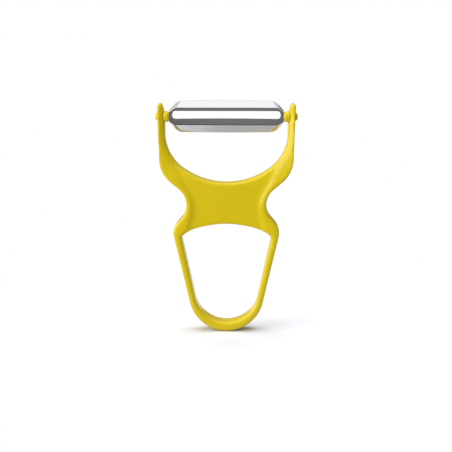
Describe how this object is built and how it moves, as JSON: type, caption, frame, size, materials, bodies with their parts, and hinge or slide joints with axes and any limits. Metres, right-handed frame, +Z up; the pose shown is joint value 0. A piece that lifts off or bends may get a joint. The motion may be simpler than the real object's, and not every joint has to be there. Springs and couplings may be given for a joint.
{
  "type": "vegetable peeler",
  "caption": "Y-shaped vegetable peeler with a finger loop and a slotted blade that swivels freely between two arms.",
  "frame": {"origin": "under the middle of the finger loop, on the lowest point of its rounded end, half way through the depth", "axes": "+Z up along the handle towards the blade, +X to the right along the swivel axis, the pictured front faces -Y"},
  "size_m": [0.0656, 0.01, 0.1088],
  "materials": {
    "yellow_plastic": "fine satin gloss",
    "yellow_trunnion_plastic": "fine satin gloss",
    "stamped_steel": "polished, with a fine lengthwise grain"
  },
  "bodies": {
    "handle": {"frame": "yellow_plastic"},
    "swivel": {"blade": "stamped_steel", "left_trunnion": "yellow_trunnion_plastic", "right_trunnion": "yellow_trunnion_plastic"}
  },
  "joints": [
    {"name": "blade_swivel", "type": "hinge", "parent": "handle", "child": "swivel", "pos_m": [0, 0, 0.1012], "axis": [1, 0, 0], "continuous": true}
  ]
}
